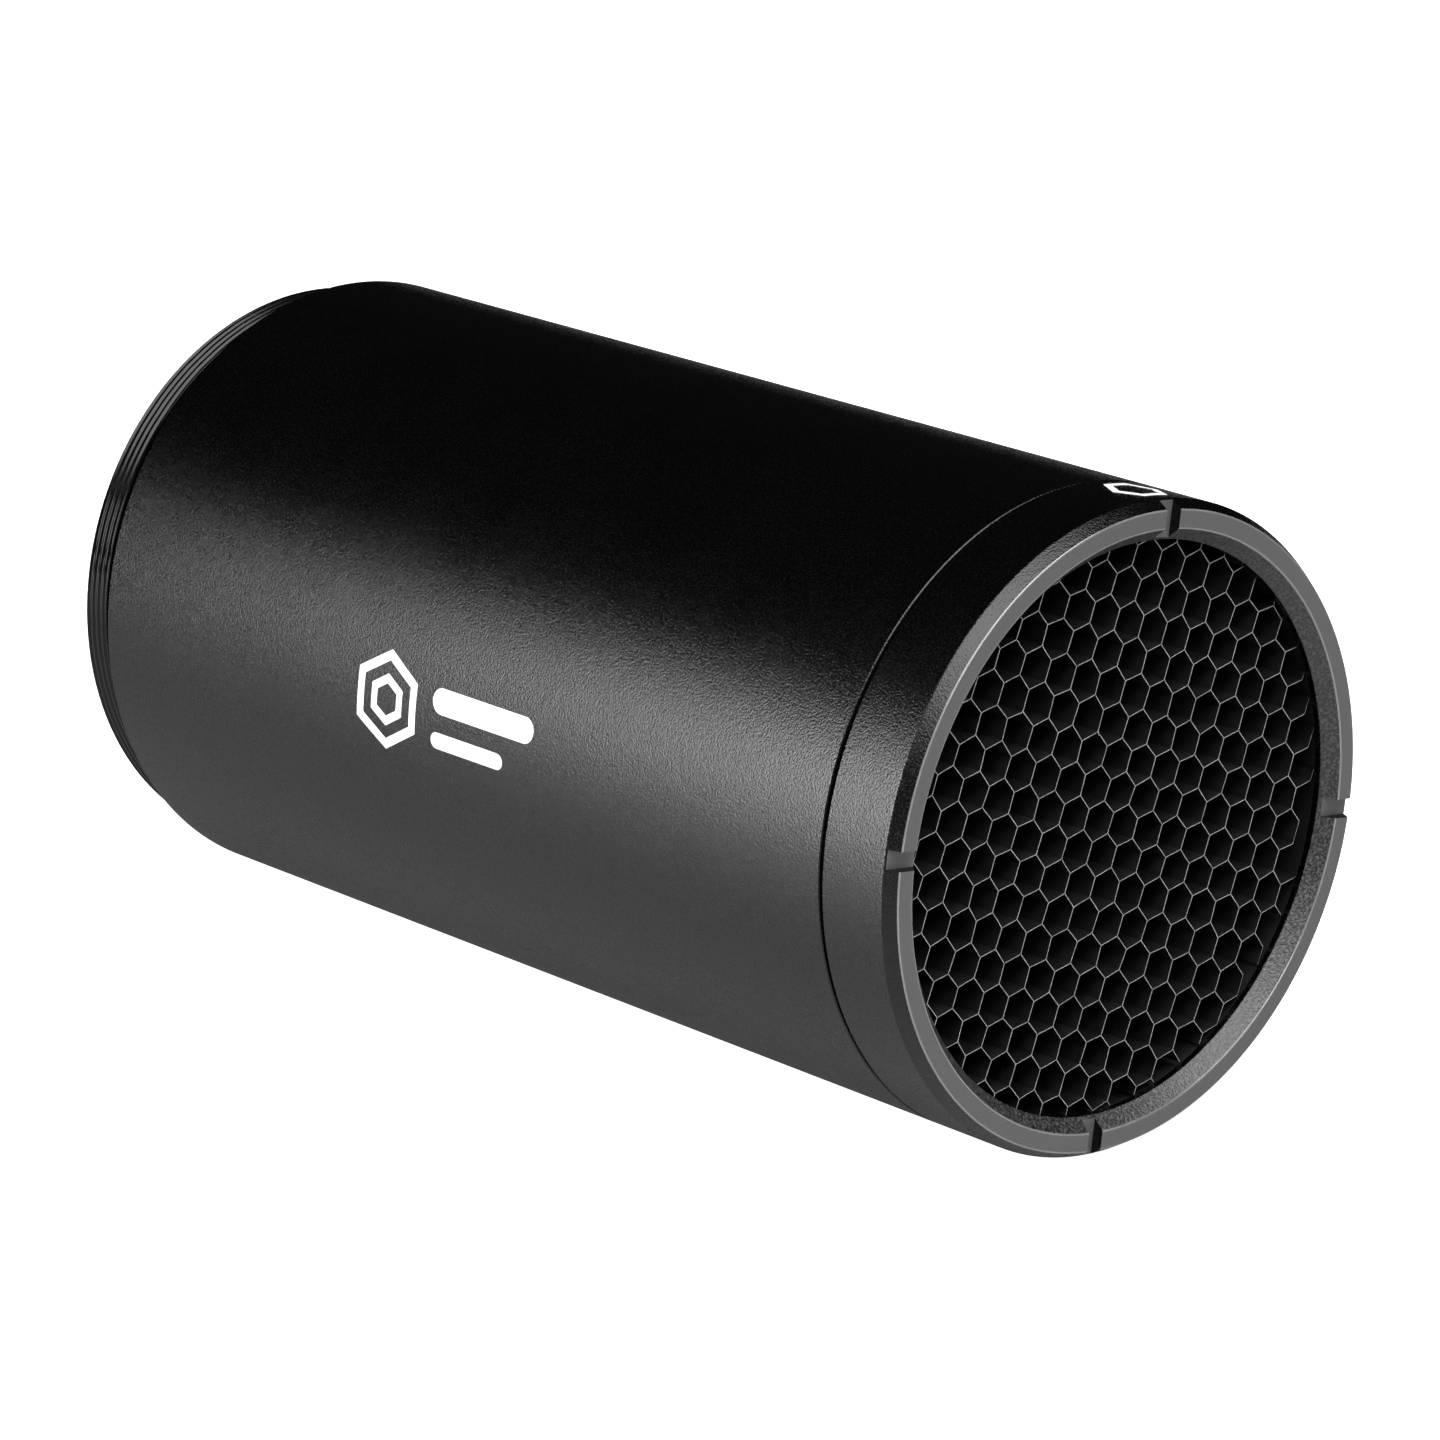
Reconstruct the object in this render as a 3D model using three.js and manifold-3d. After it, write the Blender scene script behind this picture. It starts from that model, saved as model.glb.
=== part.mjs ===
// Screw-on light snoot: a threaded tube, and a front ring that holds a honeycomb grid.
// Millimetres, +Z up. The beam axis is Y and the mouth faces -Y. The origin is on the
// axis at the rear shoulder, the plane where the tube seats on the light it screws onto.

import * as THREE from "three";
import { mergeVertices } from "three/addons/utils/BufferGeometryUtils.js";
import Module from "manifold-3d";

const wasm = await Module();
wasm.setup();

// ---------- Driving dimensions ----------

const OUTER_RADIUS = 29; // tube and front ring, flush with each other
const BODY_LENGTH = 105; // mouth face to rear shoulder
const BORE_RADIUS = 25;
const TURNED_FACETS = 60; // flats round every turned surface
const JOIN_OVERLAP = 0.2; // length that two stretches of one turned piece share
const THREAD_MARGIN = 0.1; // how far a thread's sleeve stands proud of its crest
const CUTTER_MARGIN = 1; // how far a cutter reaches past the piece it cuts

const THREAD_PITCH = 0.75; // fine metric pitch on both threads
const THREAD_DEPTH = 0.46;
const THREAD_CLEARANCE = 0.15; // between the ring's thread and the tube's, radially

const SPIGOT_LENGTH = 5.2; // male thread behind the shoulder
const SPIGOT_THREAD_RADIUS = 27.5;
const SPIGOT_RELIEF_RADIUS = 26.9;
const SPIGOT_RELIEF_LENGTH = 2.2;
const SHOULDER_CHAMFER = 0.15;

const RING_LENGTH = 8.28; // visible length of the front ring
const SEAM_WIDTH = 0.36; // between the front ring and the tube
const SEAM_CHAMFER = 0.25;
const MOUTH_CHAMFER_RADIAL = 0.75;
const MOUTH_CHAMFER_AXIAL = 1.25;
const BEVEL_OUTER_RADIUS = 26.6; // where the rim's flat face meets the inner bevel
const LIP_RADIUS = 25.4; // clear opening in front of the grid
const BEVEL_DEPTH = 1.36;
const LIP_BACK = 2.0;

const SLOT_COUNT = 4; // spanner slots across the rim
const SLOT_WIDTH = 1.7;
const SLOT_DEPTH = 1.05;
const FIRST_SLOT_ANGLE = 171.5; // degrees from +X towards +Z

const NECK_LENGTH = 4.2; // the ring's threaded neck, hidden inside the tube
const NECK_THREAD_RADIUS = 27.9;
const NECK_RELIEF_RADIUS = 27.3;
const NECK_RELIEF_LENGTH = 1.0;
const NECK_CAVITY_END_GAP = 0.6; // free length behind the neck inside the tube

const GASKET_THICKNESS = 0.3;
const GASKET_INNER_RADIUS = 27.65;
const GASKET_OUTER_RADIUS = 28.6;

const GRID_RADIUS = 25.8;
const GRID_SEAT_RADIUS = 25.95;
const GRID_FRONT = 2.3; // distance of the grid's front edge behind the mouth face
const GRID_DEPTH = 8;
const CELL_WIDTH = 3.28; // across the flats of one hexagonal cell
const FOIL_THICKNESS = 0.1;
const SHORTEST_STUB = 0.2; // a shorter end of foil beside the seat is left off
const GLUE_GAP = 0.05; // between two foils where they are bonded
const FOIL_ANGLE = 68.3; // run of the foils, degrees from +X towards +Z
const CELL_OFFSET_ALONG = 0.2; // one cell's centre from the axis, along the foils
const CELL_OFFSET_ACROSS = -1.04; // and across them

const SNAP_RING_THICKNESS = 1.0;
const SNAP_RING_INNER_RADIUS = 24.9;
const SNAP_RING_OUTER_RADIUS = 26.35;
const SNAP_GROOVE_RADIUS = 26.5;
const SNAP_GROOVE_CLEARANCE = 0.1; // each side of the ring in its groove
const SNAP_RING_OPENING = 24; // degrees left open between the ring's ends
const SNAP_RING_FACETS = 48;

// ---------- Materials ----------

const blackAnodised = new THREE.MeshStandardMaterial({ color: 0x17171a, roughness: 0.55, metalness: 0.6 });
const foilMaterial = new THREE.MeshStandardMaterial({ color: 0x3a3a3c, roughness: 0.45, metalness: 0.8 });
const springSteel = new THREE.MeshStandardMaterial({ color: 0x2a2a2e, roughness: 0.4, metalness: 0.9 });
const blackRubber = new THREE.MeshStandardMaterial({ color: 0x0c0c0c, roughness: 0.9, metalness: 0 });

// ---------- Frame helpers ----------

// Y of a plane that lies the given distance behind the mouth face.
function behindMouth(distance) {
  return distance - BODY_LENGTH;
}

// A profile point from a radius and a distance behind the mouth face.
function at(radius, distance) {
  return new THREE.Vector2(radius, behindMouth(distance));
}

// ---------- Solids ----------

// Leaves only merged positions, so that faces share their corners.
function welded(geometry) {
  geometry.deleteAttribute("normal");
  geometry.deleteAttribute("uv");
  return mergeVertices(geometry);
}

function toSolid(geometry) {
  const shared = welded(geometry);
  const vertProperties = new Float32Array(shared.attributes.position.array);
  const triVerts = new Uint32Array(shared.index.array);
  return new wasm.Manifold(new wasm.Mesh({ numProp: 3, vertProperties, triVerts }));
}

function toGeometry(solid) {
  const mesh = solid.getMesh();
  const geometry = new THREE.BufferGeometry();
  geometry.setAttribute("position", new THREE.BufferAttribute(mesh.vertProperties, 3));
  geometry.setIndex(new THREE.BufferAttribute(mesh.triVerts, 1));
  geometry.computeVertexNormals();
  return geometry;
}

// A closed outline of (radius, y) points turned about the Y axis.
function turned(outline) {
  const ordered = THREE.ShapeUtils.isClockWise(outline) ? outline.slice().reverse() : outline;
  return new THREE.LatheGeometry([...ordered, ordered[0]], TURNED_FACETS);
}

// A right-hand threaded rod about the Y axis that reaches past startY and endY. Its grid
// climbs one pitch per turn, and each end is a fan. Every rod's crest passes through y = 0
// at the same angle, so a male and a female thread cut from two rods are in mesh.
function threadedRod(startY, endY, crestRadius) {
  const rootRadius = crestRadius - THREAD_DEPTH;
  const rowsPerTurn = 2; // one row on the crest and one in the root
  const rowHeight = THREAD_PITCH / rowsPerTurn;
  const firstY = (Math.floor(startY / THREAD_PITCH) - 1) * THREAD_PITCH;
  const fullRows = Math.ceil((endY - firstY) / rowHeight);
  const rowCount = fullRows + rowsPerTurn + 1;
  const positions = [];
  for (let row = 0; row < rowCount; row++) {
    const radius = row % rowsPerTurn === 0 ? crestRadius : rootRadius;
    for (let facet = 0; facet < TURNED_FACETS; facet++) {
      const turn = facet / TURNED_FACETS;
      const angle = turn * 2 * Math.PI;
      const y = firstY + row * rowHeight + turn * THREAD_PITCH;
      positions.push(radius * Math.sin(angle), y, radius * Math.cos(angle));
    }
  }
  // The corner one facet past a row's last one starts the row a whole turn higher.
  const corner = (row, facet) =>
    facet < TURNED_FACETS ? row * TURNED_FACETS + facet : (row + rowsPerTurn) * TURNED_FACETS;
  const triangles = [];
  for (let row = 0; row < fullRows; row++) {
    for (let facet = 0; facet < TURNED_FACETS; facet++) {
      const low = corner(row, facet);
      const lowNext = corner(row, facet + 1);
      const high = corner(row + 1, facet);
      const highNext = corner(row + 1, facet + 1);
      triangles.push(low, lowNext, highNext, low, highNext, high);
    }
  }
  const rim = (row) => {
    const loop = [];
    for (let facet = 0; facet < TURNED_FACETS; facet++) loop.push(corner(row, facet));
    for (let step = rowsPerTurn; step > 0; step--) loop.push(corner(row + step, 0));
    return loop;
  };
  const closeEnd = (row, outward) => {
    const loop = rim(row);
    const centre = positions.length / 3;
    positions.push(0, firstY + row * rowHeight + THREAD_PITCH / 2, 0);
    loop.forEach((from, index) => {
      const to = loop[(index + 1) % loop.length];
      triangles.push(...(outward ? [centre, from, to] : [centre, to, from]));
    });
  };
  closeEnd(0, false);
  closeEnd(fullRows, true);
  const geometry = new THREE.BufferGeometry();
  geometry.setAttribute("position", new THREE.Float32BufferAttribute(positions, 3));
  geometry.setIndex(triangles);
  return toSolid(geometry);
}

// ---------- Front ring ----------

const neckEnd = RING_LENGTH + NECK_LENGTH;
const neckThreadStart = RING_LENGTH + NECK_RELIEF_LENGTH;
const snapRingFront = GRID_FRONT + GRID_DEPTH + 2 * SNAP_GROOVE_CLEARANCE;
const snapRingBack = snapRingFront + SNAP_RING_THICKNESS;
const grooveFront = snapRingFront - SNAP_GROOVE_CLEARANCE;
const grooveBack = snapRingBack + SNAP_GROOVE_CLEARANCE;

// Everything of the ring except its threaded stretch.
function ringHead() {
  const rimOuterRadius = OUTER_RADIUS - MOUTH_CHAMFER_RADIAL;
  return toSolid(
    turned([
      at(BEVEL_OUTER_RADIUS, 0),
      at(rimOuterRadius, 0),
      at(OUTER_RADIUS, MOUTH_CHAMFER_AXIAL),
      at(OUTER_RADIUS, RING_LENGTH - SEAM_CHAMFER),
      at(OUTER_RADIUS - SEAM_CHAMFER, RING_LENGTH),
      at(NECK_RELIEF_RADIUS, RING_LENGTH),
      at(NECK_RELIEF_RADIUS, neckThreadStart),
      at(GRID_SEAT_RADIUS, neckThreadStart),
      at(GRID_SEAT_RADIUS, LIP_BACK),
      at(LIP_RADIUS, LIP_BACK),
      at(LIP_RADIUS, BEVEL_DEPTH),
    ]),
  );
}

// The neck's threaded stretch, with the groove for the snap ring inside it.
function ringNeck() {
  const start = neckThreadStart - JOIN_OVERLAP;
  const sleeveRadius = NECK_THREAD_RADIUS + THREAD_MARGIN;
  const threadRoot = NECK_THREAD_RADIUS - THREAD_DEPTH;
  const sleeve = toSolid(
    turned([
      at(NECK_RELIEF_RADIUS, start),
      at(NECK_RELIEF_RADIUS, neckThreadStart),
      at(sleeveRadius, neckThreadStart + THREAD_DEPTH),
      at(sleeveRadius, neckEnd - THREAD_DEPTH),
      at(threadRoot, neckEnd),
      at(GRID_SEAT_RADIUS, neckEnd),
      at(GRID_SEAT_RADIUS, grooveBack),
      at(SNAP_GROOVE_RADIUS, grooveBack),
      at(SNAP_GROOVE_RADIUS, grooveFront),
      at(GRID_SEAT_RADIUS, grooveFront),
      at(GRID_SEAT_RADIUS, start),
    ]),
  );
  return sleeve.intersect(threadedRod(behindMouth(start), behindMouth(neckEnd), NECK_THREAD_RADIUS));
}

// One spanner slot, cut right across the rim.
function slotCutter(index) {
  const angle = THREE.MathUtils.degToRad(FIRST_SLOT_ANGLE + (index * 360) / SLOT_COUNT);
  const reach = OUTER_RADIUS - LIP_RADIUS + 2 * CUTTER_MARGIN;
  const box = new THREE.BoxGeometry(reach, 2 * SLOT_DEPTH, SLOT_WIDTH);
  box.translate(LIP_RADIUS - CUTTER_MARGIN + reach / 2, behindMouth(0), 0);
  box.rotateY(-angle);
  return toSolid(box);
}

function frontRing() {
  let ring = ringHead().add(ringNeck());
  for (let index = 0; index < SLOT_COUNT; index++) ring = ring.subtract(slotCutter(index));
  return toGeometry(ring);
}

// ---------- Main tube ----------

const tubeFront = RING_LENGTH + SEAM_WIDTH;
const neckCavityEnd = neckEnd + NECK_CAVITY_END_GAP;
const spigotThreadStart = BODY_LENGTH + SPIGOT_RELIEF_LENGTH;
const spigotEnd = BODY_LENGTH + SPIGOT_LENGTH;

function tubeBarrel() {
  return toSolid(
    turned([
      at(OUTER_RADIUS - SEAM_CHAMFER, tubeFront),
      at(OUTER_RADIUS, tubeFront + SEAM_CHAMFER),
      at(OUTER_RADIUS, BODY_LENGTH - SHOULDER_CHAMFER),
      at(OUTER_RADIUS - SHOULDER_CHAMFER, BODY_LENGTH),
      at(SPIGOT_RELIEF_RADIUS, BODY_LENGTH),
      at(SPIGOT_RELIEF_RADIUS, spigotThreadStart),
      at(BORE_RADIUS, spigotThreadStart),
      at(BORE_RADIUS, tubeFront),
    ]),
  );
}

// The male thread that screws into the light.
function tubeSpigot() {
  const start = spigotThreadStart - JOIN_OVERLAP;
  const sleeveRadius = SPIGOT_THREAD_RADIUS + THREAD_MARGIN;
  const threadRoot = SPIGOT_THREAD_RADIUS - THREAD_DEPTH;
  const sleeve = toSolid(
    turned([
      at(SPIGOT_RELIEF_RADIUS, start),
      at(SPIGOT_RELIEF_RADIUS, spigotThreadStart - JOIN_OVERLAP / 2),
      at(threadRoot, spigotThreadStart),
      at(sleeveRadius, spigotThreadStart + THREAD_DEPTH / 2),
      at(sleeveRadius, spigotEnd - THREAD_DEPTH / 2),
      at(threadRoot - THREAD_MARGIN, spigotEnd),
      at(BORE_RADIUS, spigotEnd),
      at(BORE_RADIUS, start),
    ]),
  );
  return sleeve.intersect(threadedRod(behindMouth(start), behindMouth(spigotEnd), SPIGOT_THREAD_RADIUS));
}

// The female thread that takes the front ring's neck, as the solid to remove.
function neckCavity() {
  const crest = NECK_THREAD_RADIUS + THREAD_CLEARANCE;
  const front = tubeFront - CUTTER_MARGIN;
  const rod = threadedRod(behindMouth(front), behindMouth(neckCavityEnd), crest);
  const reach = toSolid(
    turned([
      at(0, front),
      at(crest + CUTTER_MARGIN, front),
      at(crest + CUTTER_MARGIN, neckCavityEnd),
      at(0, neckCavityEnd),
    ]),
  );
  return rod.intersect(reach);
}

function mainTube() {
  return toGeometry(tubeBarrel().add(tubeSpigot()).subtract(neckCavity()));
}

// ---------- Seam gasket ----------

function seamGasket() {
  const front = RING_LENGTH + (SEAM_WIDTH - GASKET_THICKNESS) / 2;
  const back = front + GASKET_THICKNESS;
  return turned([
    at(GASKET_INNER_RADIUS, front),
    at(GASKET_OUTER_RADIUS, front),
    at(GASKET_OUTER_RADIUS, back),
    at(GASKET_INNER_RADIUS, back),
  ]);
}

// ---------- Snap ring ----------

// A flat open ring, drawn in its own plane and as thick as its depth.
function snapRing() {
  const halfOpening = THREE.MathUtils.degToRad(SNAP_RING_OPENING / 2);
  const start = -Math.PI / 2 + halfOpening;
  const end = (3 * Math.PI) / 2 - halfOpening;
  const outline = new THREE.Shape();
  outline.absarc(0, 0, SNAP_RING_OUTER_RADIUS, start, end, false);
  outline.absarc(0, 0, SNAP_RING_INNER_RADIUS, end, start, true);
  const options = { depth: SNAP_RING_THICKNESS, bevelEnabled: false, curveSegments: SNAP_RING_FACETS };
  return new THREE.ExtrudeGeometry(outline, options);
}

// ---------- Honeycomb grid ----------

// The grid is an expanded honeycomb: flat foils, bonded in staggered lines and pulled open
// into zigzags. Each foil runs along x, the foils stack along y, and the cells run along z.
const cellSide = CELL_WIDTH / Math.sqrt(3);
const foilPeriod = 3 * cellSide;
const foilSpacing = CELL_WIDTH / 2;
const foilSwing = CELL_WIDTH / 4 - (GLUE_GAP + FOIL_THICKNESS) / 2;

// Where foil `index` crosses the stack, at its mean line.
function foilMeanLine(index) {
  return CELL_OFFSET_ACROSS - CELL_WIDTH / 4 + index * foilSpacing;
}

// Corners of one zigzag, from end to end of the stack.
function foilCorners(index) {
  const phase = CELL_OFFSET_ALONG - foilPeriod / 2 + (index * foilPeriod) / 2;
  const mean = foilMeanLine(index);
  const firstPeriod = Math.floor((-GRID_RADIUS - phase) / foilPeriod) - 1;
  const lastPeriod = Math.ceil((GRID_RADIUS - phase) / foilPeriod) + 1;
  const corners = [];
  for (let period = firstPeriod; period <= lastPeriod; period++) {
    const centre = phase + period * foilPeriod;
    corners.push(new THREE.Vector2(centre - cellSide / 2, mean + foilSwing));
    corners.push(new THREE.Vector2(centre + cellSide / 2, mean + foilSwing));
    corners.push(new THREE.Vector2(centre + cellSide, mean - foilSwing));
    corners.push(new THREE.Vector2(centre + 2 * cellSide, mean - foilSwing));
  }
  return corners;
}

// Where the line from a point inside the grid's circle to one outside it meets the circle.
function rimCrossing(inside, outside) {
  const step = outside.clone().sub(inside);
  const a = step.lengthSq();
  const b = inside.dot(step);
  const c = inside.lengthSq() - GRID_RADIUS ** 2;
  return inside.clone().addScaledVector(step, (-b + Math.sqrt(b * b - a * c)) / a);
}

// Follows the corners until they leave the circle, and ends on the circle.
function runToRim(corners) {
  const run = [];
  for (const corner of corners) {
    if (corner.length() > GRID_RADIUS) {
      const end = rimCrossing(run[run.length - 1], corner);
      const stub = end.distanceTo(run[run.length - 1]);
      if (stub > SHORTEST_STUB) run.push(end);
      break;
    }
    run.push(corner);
  }
  return run;
}

function foilLine(index) {
  const corners = foilCorners(index);
  const middle = corners.findIndex((corner) => corner.x >= 0);
  const forward = runToRim(corners.slice(middle));
  const backward = runToRim(corners.slice(0, middle + 1).reverse());
  return [...backward.slice(1).reverse(), ...forward];
}

// The offset from each point of a line to the foil's face, square to the foil.
function foilFaceOffsets(line) {
  const directions = line.slice(1).map((point, index) => point.clone().sub(line[index]).normalize());
  return line.map((_, index) => {
    const before = directions[Math.max(index - 1, 0)];
    const after = directions[Math.min(index, directions.length - 1)];
    const along = before.clone().add(after).normalize();
    const stretch = 1 / along.dot(after);
    return new THREE.Vector2(-along.y, along.x).multiplyScalar((stretch * FOIL_THICKNESS) / 2);
  });
}

function foilRibbon(index) {
  const line = foilLine(index);
  const offsets = foilFaceOffsets(line);
  const left = line.map((point, corner) => point.clone().add(offsets[corner]));
  const right = line.map((point, corner) => point.clone().sub(offsets[corner]));
  const outline = new THREE.Shape([...right, ...left.reverse()]);
  return new THREE.ExtrudeGeometry(outline, { depth: GRID_DEPTH, bevelEnabled: false });
}

// Every foil whose zigzag stays inside the grid's circle at its middle.
function foilIndices() {
  const reach = GRID_RADIUS - CELL_WIDTH / 4;
  const first = Math.ceil((-reach - foilMeanLine(0)) / foilSpacing);
  const last = Math.floor((reach - foilMeanLine(0)) / foilSpacing);
  return Array.from({ length: last - first + 1 }, (_, step) => first + step);
}

// ---------- Assembly ----------

function named(name, geometry, material) {
  const mesh = new THREE.Mesh(geometry, material);
  mesh.name = name;
  return mesh;
}

// A flat shape's x and y become X and Z, and its depth runs forward from the given plane.
function acrossTheAxis(group, planeBehindMouth, turn) {
  group.rotation.set(Math.PI / 2, 0, THREE.MathUtils.degToRad(turn));
  group.position.y = behindMouth(planeBehindMouth);
  return group;
}

const snoot = new THREE.Group();
snoot.add(named("main_tube", mainTube(), blackAnodised));
snoot.add(named("seam_gasket", welded(seamGasket()), blackRubber));
snoot.add(named("front_ring", frontRing(), blackAnodised));
snoot.add(acrossTheAxis(named("snap_ring", welded(snapRing()), springSteel), snapRingBack, 0));

const grid = acrossTheAxis(new THREE.Group(), GRID_FRONT + GRID_DEPTH, FOIL_ANGLE);
foilIndices().forEach((index, order) => {
  const name = `foil_ribbon_${String(order + 1).padStart(2, "0")}`;
  grid.add(named(name, welded(foilRibbon(index)), foilMaterial));
});
snoot.add(grid);

export default snoot;
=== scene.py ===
import math
import random
from typing import NamedTuple

import bmesh
import bpy
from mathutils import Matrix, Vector, noise


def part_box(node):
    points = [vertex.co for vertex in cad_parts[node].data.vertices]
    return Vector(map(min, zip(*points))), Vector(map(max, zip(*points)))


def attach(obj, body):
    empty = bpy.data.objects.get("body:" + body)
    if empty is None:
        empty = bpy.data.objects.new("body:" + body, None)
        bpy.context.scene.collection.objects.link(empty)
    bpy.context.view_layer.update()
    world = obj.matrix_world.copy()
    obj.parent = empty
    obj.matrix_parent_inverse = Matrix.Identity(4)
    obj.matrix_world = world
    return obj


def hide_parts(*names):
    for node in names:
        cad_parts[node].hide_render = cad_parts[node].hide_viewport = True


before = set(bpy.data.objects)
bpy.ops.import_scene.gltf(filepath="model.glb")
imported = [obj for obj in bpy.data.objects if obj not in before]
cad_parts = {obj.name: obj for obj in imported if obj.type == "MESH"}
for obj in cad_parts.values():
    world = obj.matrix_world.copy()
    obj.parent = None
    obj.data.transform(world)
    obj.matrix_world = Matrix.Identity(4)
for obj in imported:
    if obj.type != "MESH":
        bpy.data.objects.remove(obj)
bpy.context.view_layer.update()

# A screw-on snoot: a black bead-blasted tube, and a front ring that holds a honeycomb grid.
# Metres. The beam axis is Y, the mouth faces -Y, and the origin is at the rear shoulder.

MM = 0.001

# ---------- Places taken from the frame ----------

TUBE_LOW, TUBE_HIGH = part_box("main_tube")
RING_LOW, RING_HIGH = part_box("front_ring")
GASKET_LOW, GASKET_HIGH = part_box("seam_gasket")
SNAP_LOW, SNAP_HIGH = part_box("snap_ring")
FOIL_NODES = sorted(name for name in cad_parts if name.startswith("foil_ribbon_"))
FOIL_LOW, FOIL_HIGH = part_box(FOIL_NODES[0])

OUTER_RADIUS = TUBE_HIGH.x
MOUTH_Y = RING_LOW.y
RING_LENGTH = 8.28 * MM  # of its full-width part
RING_BACK_Y = MOUTH_Y + RING_LENGTH
NECK_END_Y = RING_HIGH.y
TUBE_FRONT_Y = TUBE_LOW.y
SHOULDER_Y = 0.0
SPIGOT_END_Y = TUBE_HIGH.y

# ---------- Sizes of the turned details ----------

SEGMENTS = 192  # steps round every turned surface
EDGE_BREAK = 0.10 * MM  # how far a machined edge is rounded
EDGE_STEPS = 3
EDGE_MARGIN = 1.2  # where the flats are pinned beside a rounded edge, in lengths of its reach
BORE_RADIUS = 25.0 * MM
LIP_RADIUS = 25.4 * MM
LIP_DEPTH = 2.0 * MM
SEAT_RADIUS = 25.95 * MM
BEVEL_OUTER_RADIUS = 26.6 * MM
BEVEL_DEPTH = 1.36 * MM
MOUTH_CHAMFER_RADIAL = 0.75 * MM
MOUTH_CHAMFER_AXIAL = 1.25 * MM
SEAM_CHAMFER = 0.10 * MM
SHOULDER_CHAMFER = 0.15 * MM

THREAD_PITCH = 0.75 * MM
THREAD_DEPTH = 0.19 * MM
THREAD_FLAT = 0.20  # share of the half pitch that is flat on the crest, and in the root
THREAD_ROWS = 24  # rows of mesh in each pitch
THREAD_RUN_IN = 0.3 * MM  # length over which a male thread rises at each end
THREAD_CLEARANCE = 0.15 * MM
NECK_THREAD_RADIUS = 27.9 * MM
NECK_RELIEF_RADIUS = 27.3 * MM
NECK_RELIEF_LENGTH = 1.0 * MM
NECK_CAVITY_GAP = 0.6 * MM
SPIGOT_THREAD_RADIUS = 27.5 * MM
SPIGOT_RELIEF_RADIUS = 26.9 * MM
SPIGOT_RELIEF_LENGTH = 2.2 * MM

SLOT_COUNT = 4
SLOT_WIDTH = 1.7 * MM
SLOT_DEPTH = 1.05 * MM
FIRST_SLOT_ANGLE = math.radians(171.5)  # from +X towards +Z
CUTTER_MARGIN = 1.0 * MM
FLAT_TOLERANCE = 0.01 * MM

SNAP_INNER_RADIUS = 24.9 * MM
SNAP_GROOVE_RADIUS = 26.5 * MM
SNAP_GROOVE_CLEARANCE = 0.1 * MM
SNAP_OPENING = 24 / 360  # of a turn, at the bottom
GASKET_INNER_RADIUS = 27.65 * MM

GROOVE_PITCH = 1.5 * MM  # anti-glare grooves down the bore
GROOVE_DEPTH = 0.25 * MM
GROOVE_LAND = 0.2  # share of the pitch left at bore size
GROOVE_DEEPEST = 0.4  # how far along the pitch a groove is deepest

# ---------- Mesh helpers ----------


def new_mesh(name, vertices, faces, finishes=None):
    mesh = bpy.data.meshes.new(name)
    mesh.from_pydata(vertices, [], faces)
    if finishes:
        mesh.polygons.foreach_set("material_index", finishes)
    return mesh


def face_outward(mesh):
    work = bmesh.new()
    work.from_mesh(mesh)
    bmesh.ops.recalc_face_normals(work, faces=work.faces)
    work.to_mesh(mesh)
    work.free()


def smooth_by_angle(mesh, degrees=35):
    for polygon in mesh.polygons:
        polygon.use_smooth = True
    mesh.set_sharp_from_angle(angle=math.radians(degrees))


def add_piece(name, mesh, body, replaced=()):
    """Makes a finished mesh a piece of the object on its body, and hides the CAD nodes it stands for.
    """
    piece = bpy.data.objects.new(name, mesh)
    bpy.context.scene.collection.objects.link(piece)
    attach(piece, body)
    if replaced:
        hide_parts(*replaced)
    return piece


# ---------- Turned pieces ----------


# The pale edge finish is partly rubbed wear and partly a painted highlight.
BLASTED, DULL, THREADED, MACHINED, SATIN, WEAR_AND_HIGHLIGHT = range(6)


class Corner(NamedTuple):
    """A corner of a turned outline. Its finish is that of the stretch after it, edge is how far
    the corner is rounded, and on a screw thread the thread gives the radius. A wear_and_highlight
    corner has its rounding painted pale: rubbed shiny, and a painted highlight of the light on the
    edge."""

    radius: float
    y: float
    finish: int = 0
    edge: float = 0.0
    thread: object = None
    wear_and_highlight: bool = False


def rounded(outline):
    """Rounds the corners of a closed outline, with a row beside each curve that keeps the
    shading of the flats flat."""
    result = []
    for index, corner in enumerate(outline):
        if not corner.edge:
            result.append(corner)
            continue
        before = outline[index - 1]
        after = outline[(index + 1) % len(outline)]
        here = Vector((corner.radius, corner.y))
        back = Vector((before.radius, before.y)) - here
        ahead = Vector((after.radius, after.y)) - here
        reach = min(corner.edge, 0.4 * back.length, 0.4 * ahead.length)
        start = here + back.normalized() * reach
        end = here + ahead.normalized() * reach
        outer_start = here + back.normalized() * reach * EDGE_MARGIN
        outer_end = here + ahead.normalized() * reach * EDGE_MARGIN
        result.append(Corner(*outer_start, before.finish))
        for step in range(EDGE_STEPS + 1):
            t = step / EDGE_STEPS
            place = start * (1 - t) ** 2 + here * 2 * t * (1 - t) + end * t ** 2
            finish = corner.finish if t >= 0.5 else before.finish
            # Rounded edges marked this way take the pale finish, which is partly a painted highlight.
            if corner.wear_and_highlight and step < EDGE_STEPS:
                finish = WEAR_AND_HIGHLIGHT
            result.append(Corner(*place, finish))
        result.append(Corner(*outer_end, corner.finish))
    return result


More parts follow.
